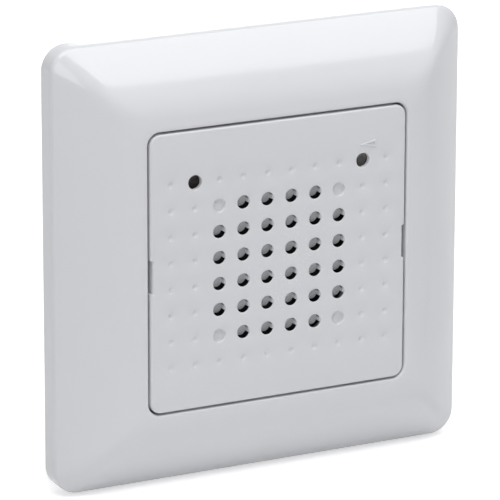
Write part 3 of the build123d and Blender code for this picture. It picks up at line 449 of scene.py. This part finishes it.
def crownProfile(size, inset):
    # points (distance from the side wall, out) of the crowned face, set in along its normal: on each
    # arc they are centre + (radius - inset) * (-sin slope, cos slope)
    foot, outerR, innerR, start, join, turn = crownArcs(size)
    parts = []
    a = np.linspace(0, turn, size["rimSteps"])
    rim = size["rimRound"] - inset
    if rim > 0:
        parts.append(np.stack([size["rimRound"] - rim * np.cos(a), size["rimOut"] + rim * np.sin(a)], -1))
    b = np.linspace(start, join, size["arcSteps"])[1 if rim > 0 else 0:]
    centre = np.array([foot[0] + outerR * math.sin(start), foot[1] - outerR * math.cos(start)])
    parts.append(centre + (outerR - inset) * np.stack([-np.sin(b), np.cos(b)], -1))
    c = np.linspace(join, 0, size["arcSteps"])[1:]
    centre = np.array([size["half"] - size["openingHalf"], size["lipOut"] - innerR])
    parts.append(centre + (innerR - inset) * np.stack([-np.sin(c), np.cos(c)], -1))
    return np.concatenate(parts)


def mitreRadius(size, inset):
    # corner radius of the loop that lies inset from the outer edge
    return np.interp(inset, size["mitreAt"], size["mitreRadius"])


def buildCoverFrame(size):
    # one closed profile (distance from the side wall, out) is carried round a rounded square, whose
    # half-width is half - distance and whose corner radius changes with the distance
    crown = crownProfile(size, 0.0)
    width = size["half"] - size["openingHalf"]
    crown = crown[crown[:, 0] < width - size["lipRound"] - size["lipMargin"]]
    a = np.linspace(math.pi / 2, 0, size["lipSteps"])
    lip = np.stack([width - size["lipRound"] + size["lipRound"] * np.cos(a),
                    size["lipOut"] - size["lipRound"] + size["lipRound"] * np.sin(a)], -1)
    sideOut = np.linspace(size["rearOut"], size["rimOut"], size["wallSteps"])[:-1]
    side = np.stack([0 * sideOut, sideOut], -1)
    outside = np.concatenate([side, crown, lip])
    outsideR = mitreRadius(size, outside[:, 0])
    openR = size["openingRadius"]
    shelf = width + size["ledgeDepth"]
    collar = width - size["collarWall"]
    under = crownProfile(size, size["wall"])
    under = under[(under[:, 0] > size["wall"]) & (under[:, 0] < collar)]

    def underside(distance):
        return np.interp(distance, under[:, 0], under[:, 1])

    inside = np.array([[width, size["ledgeOut"]], [shelf, size["ledgeOut"]], [shelf, size["collarRearOut"]],
                       [collar, size["collarRearOut"]], [collar, underside(collar)]])
    insideR = np.array([openR, openR, openR, openR + size["collarWall"], openR + size["collarWall"]])
    last = np.array([[size["wall"], underside(size["wall"])], [size["wall"], size["rearOut"]]])
    lastR = np.full(2, size["cornerRadius"] - size["wall"])
    profile = np.concatenate([outside, inside, under[::-1], last])
    radius = np.concatenate([outsideR, insideR, mitreRadius(size, under[::-1, 0]), lastR])
    x, z = roundedSquare(size["half"] - profile[:, 0], radius, size["sideSteps"], size["cornerSteps"])
    nets = [(toWorld(x, profile[:, 1:2], z), True, True)]
    # stiffening ring between collar and side wall
    halves = size["ringHalf"] + size["ringWall"] * np.array([1, 1, 0, 0])
    radius = np.repeat([size["ringOuterRadius"], size["ringInnerRadius"]], 2)
    outs = underside(size["half"] - halves) + size["overlap"]
    outs[[0, 3]] = size["ringRearOut"]
    x, z = roundedSquare(halves, radius, size["ringSideSteps"], size["ringCornerSteps"])
    nets.append((toWorld(x, outs[:, None], z), True, True))
    # cross ribs: a thin wall from the side wall to the collar, its top along the underside
    reach = np.linspace(size["wall"] - size["ribOverlap"], collar + size["ribOverlap"], size["ribSteps"])
    ribRear = np.full_like(reach, size["ribRearOut"])
    ribTop = np.maximum(underside(reach) + size["overlap"], ribRear + size["ribLeast"])
    outs = np.stack([ribRear, ribTop, ribTop, ribRear], -1)
    spread = 2 * (size["openingHalf"] + size["collarWall"]) / size["ribs"]
    places = (np.arange(size["ribs"]) - (size["ribs"] - 1) / 2) * spread
    faces = size["ribWall"] / 2 * np.array([-1, -1, 1, 1])
    for quarter in range(4):
        c, s = quarterTurn(quarter)
        for place in places:
            along, across = np.broadcast_arrays((size["half"] - reach)[:, None], (place + faces)[None, :])
            net = toWorld(along * c - across * s, outs, along * s + across * c)
            ends = net[[0, -1]].mean(1, keepdims=True).repeat(len(faces), 1)
            nets.append((np.concatenate([ends[:1], net, ends[1:]]), False, True))
    makePiece("coverFrame", nets, "frame", "cover_frame", whiteFrame, smoothAngle=36)


buildCoverFrame(coverFrame)
print("stage: cover frame")


# Centre plate
centrePlate = {
    "half": 25.0, "cornerRadius": 2.0, "faceOut": 11.7, "skin": 1.2, "skirt": 1.5, "rearOut": 5.05,
    "edgeRound": 0.45, "edgeSteps": 7,
    "notchHalf": 3.0, "notchDepth": 0.42, "notchReach": 2.6, "notchSoft": 0.07, "notchSteps": 24,
    "leftNotchDrop": 0.25,
    "pitch": 4.695, "columns": 10, "rows": 8, "gridDrop": 0.6, "field": 6, "adjusterColumn": 1,
    "holeRadius": 1.2, "holeRound": 0.15, "holeLip": 0.34, "holeSteps": 5,
    "adjusterRadius": 1.3, "adjusterRound": 0.12, "adjusterLip": 1.0,
    # behind its lip a hole widens by relief; the steps there are lipSoft, lipSlope and reliefSlope
    "holeRelief": 0.5, "lipSoft": 0.04, "lipSlope": 0.05, "reliefSlope": 0.3,
    "recessDepth": 0.65, "recessFoot": 0.06,
    "dimpleRadius": 0.5, "dimpleDepth": 0.29, "dimpleReach": 1.35, "dimplePower": 1.5, "dimpleSteps": 9,
    "spokes": 32,
}


def cellSquare(size):
    # outer ring of one grid cell: the ray at angle a cut at the square, half pitch / max(|cos|, |sin|)
    a = np.arange(size["spokes"]) * 2 * math.pi / size["spokes"]
    reach = size["pitch"] / 2 / np.maximum(abs(np.cos(a)), abs(np.sin(a)))
    return a, reach


def holeProfile(size, kind):
    # (radius, out) from the flat face inwards, and whether it goes through to the skin's back; a rim is
    # a quarter round of radius e, and a dimple a soft dish, face - depth * cos(share of reach) ^ power
    face, back = size["faceOut"], size["faceOut"] - size["skin"]
    if kind == "dimple":
        share = np.linspace(1.0, 0.0, size["dimpleSteps"])
        dish = face - size["dimpleDepth"] * np.cos(share * math.pi / 2) ** size["dimplePower"]
        return np.stack([size["dimpleRadius"] * size["dimpleReach"] * share, dish], -1), False
    hole = "adjuster" if kind == "adjuster" else "hole"
    r, e = size[hole + "Radius"], size[hole + "Round"]
    a = np.linspace(0, math.pi / 2, size["holeSteps"])
    rim = np.stack([r + e * (1 - np.sin(a)), face - e * (1 - np.cos(a))], -1)
    if kind == "recess":
        f, floor = size["recessFoot"], face - size["recessDepth"]
        foot = np.stack([r - f * (1 - np.cos(a)), floor + f * (1 - np.sin(a))], -1)
        return np.concatenate([rim, foot, [[r / 2, floor], [0.0, floor]]]), False
    lip, wide, soft = face - size[hole + "Lip"], r + size["holeRelief"], size["lipSoft"]
    relief = [[r, lip + soft], [r + soft, lip], [wide, lip - size["lipSlope"]],
              [wide + size["reliefSlope"], back]]
    return np.concatenate([rim, relief]), True


def gridKinds(size):
    # kind and middle (x, z) of each grid place: a square field of holes with a recess in each corner,
    # dimples round it and the two adjuster holes in the top row
    column, row = np.meshgrid(np.arange(size["columns"]), np.arange(size["rows"]), indexing="ij")
    firstC, firstR = (size["columns"] - size["field"]) // 2, (size["rows"] - size["field"]) // 2
    c, r = column - firstC, row - firstR
    last = size["field"] - 1
    inField = (c >= 0) & (c <= last) & (r >= 0) & (r <= last)
    corner = ((c == 0) | (c == last)) & ((r == 0) | (r == last))
    kinds = np.where(inField, np.where(corner, "recess", "sound"), "dimple").astype(object)
    kinds[[size["adjusterColumn"], -1 - size["adjusterColumn"]], 0] = "adjuster"
    x = (column - (size["columns"] - 1) / 2) * size["pitch"]
    z = -size["gridDrop"] + ((size["rows"] - 1) / 2 - row) * size["pitch"]
    return kinds, x, z


def plateLoops(size):
    # closed loops round the plate: (inset, out, corner radius, notched). Each has the same points
    # as the outline of the grid, so face and back join them without gaps
    face, r = size["faceOut"], size["cornerRadius"]
    e = size["edgeRound"]
    a = np.linspace(0, math.pi / 2, size["edgeSteps"])
    edge = [(e * (1 - math.sin(t)), face - e * (1 - math.cos(t)), r - e * (1 - math.sin(t)), 1.0) for t in a]
    shelf = face - size["notchReach"]
    back = face - size["skin"]
    walls = [(0.0, shelf, r, 1.0), (0.0, shelf, r, 0.0), (0.0, size["rearOut"], r, 0.0),
             (size["skirt"], size["rearOut"], r / 2, 0.0), (size["skirt"], back, r / 2, 0.0)]
    return np.array(edge + walls)


def sideSpots(count, straight, breaks):
    # where a side's count + 1 points lie: a share of them at each end is kept for the corner's half
    # arc, the others are spread over the straight part between the breaks (index, place)
    cornerShare = 8
    index = np.arange(count + 1)
    ends = count // cornerShare
    knots = [ends] + [b[0] for b in breaks] + [count - ends]
    spots = [-straight] + [b[1] for b in breaks] + [straight]
    return index, ends, np.interp(index, knots, spots)


def plateLoop(size, inset, radius, notched, cells):
    # one loop, counter-clockwise from the middle of the lower right corner arc
    half, reach = size["half"] - inset, size["half"] - inset - radius
    soft, tall, step = size["notchSoft"], size["notchHalf"], size["notchSteps"] // 2
    xs, zs = [], []
    for side in range(4):
        upright = side % 2 == 0
        count = cells * (size["rows"] if upright else size["columns"])
        low = size["leftNotchDrop"] if side == 2 else 0.0
        mid = count // 2
        breaks = [(mid - step - 1, low - tall - soft), (mid - step, low - tall + soft),
                  (mid + step, low + tall - soft), (mid + step + 1, low + tall + soft)] if upright else []
        index, ends, along = sideSpots(count, reach, breaks)
        depth = np.full(count + 1, half)
        if upright and notched:
            depth = depth - size["notchDepth"] * (abs(along - low) <= tall)
        head = index < ends
        tail = index > count - ends
        a = np.where(head, -math.pi / 4 * (1 - index / ends), math.pi / 4 * (index - count + ends) / ends)
        along = np.where(head, -reach + radius * np.sin(a), np.where(tail, reach + radius * np.sin(a), along))
        depth = np.where(head | tail, reach + radius * np.cos(a), depth)
        c, s = quarterTurn(side)
        xs.append((depth * c - along * s)[:-1])
        zs.append((depth * s + along * c)[:-1])
    return np.concatenate(xs), np.concatenate(zs)


def gridOutline(size, cells):
    # points round the outline of the grid, in the same order and count as a plate loop
    w = size["columns"] * size["pitch"] / 2
    h = size["rows"] * size["pitch"] / 2
    a = (np.arange(cells + 1) - cells / 2) * 2 * math.pi / size["spokes"]
    offset = size["pitch"] / 2 * np.tan(a)
    xs, zs = [], []
    for side in range(4):
        places = size["rows"] if side % 2 == 0 else size["columns"]
        centres = (np.arange(places) - (places - 1) / 2) * size["pitch"]
        along = (centres[:, None] + offset[None, :-1]).ravel()
        depth = w if side % 2 == 0 else h
        c, s = quarterTurn(side)
        xs.append(depth * c - along * s)
        zs.append(depth * s + along * c)
    return np.concatenate(xs), np.concatenate(zs) - size["gridDrop"]


def buildPlateFace(size):
    # each grid place is a net of rings: the ray at angle a runs from the cell's square to the hole's
    # profile at radius * (cos a, sin a); plate loops join the grid's outline to the edge and the back
    kinds, gridX, gridZ = gridKinds(size)
    a, reach = cellSquare(size)
    back = size["faceOut"] - size["skin"]
    nets = []
    for kind in ("sound", "adjuster", "recess", "dimple"):
        profile, through = holeProfile(size, kind)
        radii = np.concatenate([reach[None, :], np.repeat(profile[:, :1], len(a), 1)])
        outs = np.concatenate([[size["faceOut"]], profile[:, 1]])
        if through:
            radii = np.concatenate([radii, reach[None, :]])
            outs = np.append(outs, back)
        x, z, out = radii * np.cos(a), radii * np.sin(a), outs[:, None] + 0 * radii
        for placeX, placeZ in zip(gridX[kinds == kind], gridZ[kinds == kind]):
            nets.append((toWorld(x + placeX, out, z + placeZ), False, True))
            if not through:
                fan = np.stack([reach, 0 * reach])
                nets.append((toWorld(fan * np.cos(a) + placeX, back, fan * np.sin(a) + placeZ), False, True))
    cells = size["spokes"] // 4
    loops = plateLoops(size)
    inner = gridOutline(size, cells)
    rows = [inner] + [plateLoop(size, inset, r, notched, cells) for inset, _, r, notched in loops] + [inner]
    x = np.stack([row[0] for row in rows])
    z = np.stack([row[1] for row in rows])
    out = np.concatenate([[size["faceOut"]], loops[:, 1], [back]])[:, None]
    nets.append((toWorld(x, out, z), False, True))
    makePiece("centrePlate", nets, "plate", "centre_plate", whitePlate,
              smoothAngle=30, weld=0.002)


buildPlateFace(centrePlate)
print("stage: centre plate")

guards = {"depth": 1.45, "thickness": 0.7, "padRadius": 1.1, "postX": 1.34, "postWidth": 0.6,
          "postHeight": 0.75, "lift": 0.15, "overlap": 0.01, "steps": 24}


def prism(x, z, low, high):
    # closed prism over the outline (x, z): cap centre, wall, cap centre
    spread = np.array([0, 1, 1, 0])[:, None]
    xs, zs = (v.mean() + spread * (v - v.mean()) for v in (x, z))
    return toWorld(xs, np.array([low, low, high, high])[:, None], zs), False, True


def buildGuards(plate, size):
    # behind each sound hole a round pad with two ears, on two posts that reach the lip of the hole
    kinds, gridX, gridZ = gridKinds(plate)
    front = plate["faceOut"] - size["depth"]
    rear = front - size["thickness"]
    lip = plate["faceOut"] - plate["holeLip"]
    h, w = size["postHeight"] / 2, size["postWidth"] / 2
    # the pad: a circle with an ear on each side, walked round once
    ear = math.asin(h / size["padRadius"])
    a = np.linspace(ear, math.pi - ear, size["steps"] // 2)
    topX, topZ = size["padRadius"] * np.cos(a), size["padRadius"] * np.sin(a)
    far = size["postX"] + w
    padX = np.concatenate([[far, far], topX, [-far, -far], -topX])
    padZ = np.concatenate([[-h, h], topZ, [h, -h], -topZ])
    postX = np.array([-w, w, w, -w])
    postZ = np.array([-h, -h, h, h])
    nets = []
    for x, z in zip(gridX[kinds == "sound"], gridZ[kinds == "sound"] + size["lift"]):
        nets.append(prism(padX + x, padZ + z, rear, front))
        for side in (-1, 1):
            nets.append(prism(postX + x + side * size["postX"], postZ + z, front - size["overlap"], lip))
    makePiece("soundGuards", nets, "plate", "centre_plate", whitePlate, smoothAngle=30)


buildGuards(centrePlate, guards)

plateRear = {"ductInner": 16.4, "ductOuter": 17.9, "ductHeight": 2.4, "legX": 21.7, "legZ": 7.0,
             "legThickness": 1.4, "legWidth": 4.0, "legTipOut": 1.3, "legTaper": 0.4,
             "overlap": 0.1, "steps": 96}


def buildPlateRear(plate, size):
    # a ring that leads the sound to the grid, and four legs with tapered tips: each is a square loop
    # (thickness, width) whose size changes with out
    back = plate["faceOut"] - plate["skin"]
    root = back + size["overlap"]
    a = np.arange(size["steps"]) * 2 * math.pi / size["steps"]
    radii = np.repeat([size["ductInner"], size["ductOuter"]], 2)[:, None]
    outs = np.array([root, back - size["ductHeight"], back - size["ductHeight"], root])[:, None]
    nets = [(toWorld(radii * np.cos(a), outs, radii * np.sin(a) - plate["gridDrop"]), True, True)]
    taper, tip = size["legTaper"], size["legTipOut"]
    outs = np.array([root, root, tip + taper, tip, tip])[:, None]
    full, narrow = np.array([[0, 1, 1, 1, 0], [0, 0, 0, 1, 0]])[:, :, None]
    legX = (full * size["legThickness"] / 2 - narrow * taper) * [-1, 1, 1, -1]
    legZ = (full * size["legWidth"] / 2 - narrow * taper) * [-1, -1, 1, 1]
    for x in (-size["legX"], size["legX"]):
        for z in (-size["legZ"], size["legZ"]):
            nets.append((toWorld(x + legX, outs, z + legZ), False, True))
    makePiece("plateLegs", nets, "plate", "centre_plate", whitePlate, smoothAngle=30)


buildPlateRear(centrePlate, plateRear)

volumeWedge = {
    "length": 3.3, "rise": 1.37, "line": 0.3, "height": 0.195, "right": 0.9, "above": 2.85, "steps": 8,
    # cross-section of the ridge: share of the line's width, share of its height
    "across": (0.0, 0.02, 0.08, 0.5, 0.92, 0.98, 1.0), "profile": (-0.02, 0.6, 0.92, 1.0, 0.92, 0.6, -0.02),
}


def buildWedge(plate, size):
    # ridge round a triangle: its loops are the triangle scaled about its incentre by 1 - offset / inradius,
    # each at the height of the cross-section there
    length, rise = size["length"], size["rise"]
    corners = np.array([[-length / 2, 0], [length / 2, -rise / 2], [length / 2, rise / 2]])
    longSide = math.hypot(length, rise / 2)
    opposite = np.array([rise, longSide, longSide])
    incentre = (corners * opposite[:, None]).sum(0) / opposite.sum()
    inradius = length * rise / opposite.sum()
    share = (np.arange(size["steps"]) / size["steps"])[None, :, None]
    walk = (corners[:, None] * (1 - share) + np.roll(corners, -1, 0)[:, None] * share).reshape(-1, 2)
    scale = (1 - np.array(size["across"]) * size["line"] / inradius)[:, None, None]
    loop = incentre + (walk - incentre)[None] * scale
    kinds, gridX, gridZ = gridKinds(plate)
    right = kinds[:, 0].tolist().index("adjuster", plate["columns"] // 2)
    x = loop[..., 0] + gridX[right, 0] + size["right"]
    z = loop[..., 1] + gridZ[right, 0] + size["above"]
    outs = (plate["faceOut"] + np.array(size["profile"]) * size["height"])[:, None]
    makePiece("volumeWedge", [(toWorld(x, outs, z), True, True)], "plate", "centre_plate",
              whitePlate, smoothAngle=40)


buildWedge(centrePlate, volumeWedge)
print("stage: guards, rear of the plate and wedge")


# Camera and light
view = {"place": (-330.75, -637.22, 207.21), "azimuth": -27.450, "elevation": 16.203, "roll": 0.138,
        "focal": 4226.8, "width": 500, "sensor": 36.0, "clip": (0.01, 20)}


def buildCamera(size):
    # place in mm, angles in degrees, focal length in pixels of a picture that is width pixels wide; the
    # camera's axes are right = forward x Z and up = right x forward, turned by the roll
    a, e = math.radians(size["azimuth"]), math.radians(size["elevation"])
    back = Vector((math.sin(a) * math.cos(e), -math.cos(a) * math.cos(e), math.sin(e)))
    right = (-back).cross(Vector((0, 0, 1))).normalized()
    up = right.cross(-back)
    roll = math.radians(size["roll"])
    right, up = right * math.cos(roll) + up * math.sin(roll), up * math.cos(roll) - right * math.sin(roll)
    turn = Matrix((right, up, back)).transposed()
    data = bpy.data.cameras.new("camera")
    data.sensor_width = size["sensor"]
    data.lens = size["focal"] / size["width"] * size["sensor"]
    data.clip_start, data.clip_end = size["clip"]
    camera = bpy.data.objects.new("camera", data)
    camera.matrix_world = Matrix.Translation(Vector(size["place"]) * mm) @ turn.to_4x4()
    bpy.context.scene.collection.objects.link(camera)
    bpy.context.scene.camera = camera


def addLamp(name, look):
    # rectangular area lamp (metres, watts) that faces the origin
    data = bpy.data.lights.new(name, "AREA")
    data.shape = "RECTANGLE"
    data.size, data.size_y = look["size"]
    data.energy = look["power"]
    data.color = look["colour"]
    lamp = bpy.data.objects.new(name, data)
    lamp.location = look["place"]
    lamp.rotation_mode = "QUATERNION"
    lamp.rotation_quaternion = (-Vector(look["place"])).to_track_quat("-Z", "Y")
    bpy.context.scene.collection.objects.link(lamp)


lamps = {
    "topLamp": {"place": (0.0, -0.22, 0.8), "size": (1.1, 0.75), "power": 8.2, "colour": (0.99, 0.995, 1.0)},
    "leftLamp": {"place": (-0.75, -0.65, 0.3), "size": (0.5, 0.5), "power": 1.65,
                 "colour": (0.99, 0.995, 1.0)},
    "rightLamp": {"place": (0.75, -0.65, 0.3), "size": (0.5, 0.5), "power": 0.35,
                  "colour": (0.99, 0.995, 1.0)},
    "rearLamp": {"place": (0.3, 0.9, 0.12), "size": (0.6, 0.3), "power": 1.0,
                 "colour": (1.0, 1.0, 1.0)},
}

stageLook = {
    "floorZ": -0.0405, "size": 4.0, "rearEdgeY": 1.4, "floorColour": (0.93, 0.93, 0.935),
    "floorRoughness": 0.9, "floorSpecular": 0.2, "glowNear": 0.55, "glowFar": 1.0, "nearEdge": 0.15,
    "farEdge": 0.55, "world": 0.07, "worldColour": (0.985, 0.99, 1.0, 1.0), "white": (1, 1, 1, 1),
}


def seenDirectly(tree):
    # 1 for rays from the camera, from a mirror and through glass, 0 for all other light
    path = tree.nodes.new("ShaderNodeLightPath")
    seen = path.outputs["Is Camera Ray"]
    for label in ("Is Glossy Ray", "Is Transmission Ray"):
        seen = mathNode(tree, "MAXIMUM", seen, path.outputs[label])
    return seen


def buildFloor(look):
    # pale matt table; its glow, seen directly only, keeps the shadow near the object and grows to
    # white with the distance from the middle: near + (far - near) * share of the way out
    material, tree, shader = newMaterial("paleFloor")
    shader.inputs["Base Color"].default_value = paint(look["floorColour"])
    shader.inputs["Roughness"].default_value = look["floorRoughness"]
    shader.inputs["Specular IOR Level"].default_value = look["floorSpecular"]
    shader.inputs["Emission Color"].default_value = look["white"]
    distance = tree.nodes.new("ShaderNodeVectorMath")
    distance.operation = "LENGTH"
    wire(tree, objectPlace(tree), distance.inputs[0])
    spread = tree.nodes.new("ShaderNodeMapRange")
    for label, value in (("From Min", look["nearEdge"]), ("From Max", look["farEdge"]),
                         ("To Min", look["glowNear"]), ("To Max", look["glowFar"])):
        spread.inputs[label].default_value = value
    wire(tree, distance.outputs["Value"], spread.inputs["Value"])
    glow = mathNode(tree, "MULTIPLY", seenDirectly(tree), spread.outputs[0])
    wire(tree, glow, shader.inputs["Emission Strength"])
    half = look["size"] / 2
    mesh = bpy.data.meshes.new("floor")
    mesh.from_pydata([(-half, -half, look["floorZ"]), (half, -half, look["floorZ"]),
                      (half, look["rearEdgeY"], look["floorZ"]), (-half, look["rearEdgeY"], look["floorZ"])],
                     [], [(0, 1, 2, 3)])
    floor = bpy.data.objects.new("floor", mesh)
    mesh.materials.append(material)
    bpy.context.scene.collection.objects.link(floor)


def buildWorld(look):
    # white where it is seen directly, a weak even light for everything else
    world = bpy.data.worlds.new("studio")
    world.use_nodes = True
    bpy.context.scene.world = world
    tree = world.node_tree
    sky = tree.nodes["Background"]
    sky.inputs["Strength"].default_value = look["world"]
    sky.inputs["Color"].default_value = look["worldColour"]
    white = tree.nodes.new("ShaderNodeBackground")
    white.inputs["Color"].default_value = look["white"]
    mix = tree.nodes.new("ShaderNodeMixShader")
    wire(tree, seenDirectly(tree), mix.inputs[0])
    wire(tree, sky.outputs[0], mix.inputs[1])
    wire(tree, white.outputs[0], mix.inputs[2])
    wire(tree, mix.outputs[0], tree.nodes["World Output"].inputs["Surface"])


buildCamera(view)
for lampName, lampLook in lamps.items():
    addLamp(lampName, lampLook)
buildFloor(stageLook)
buildWorld(stageLook)
bpy.context.scene.view_settings.view_transform = "Standard"
print("stage: camera, light and floor")
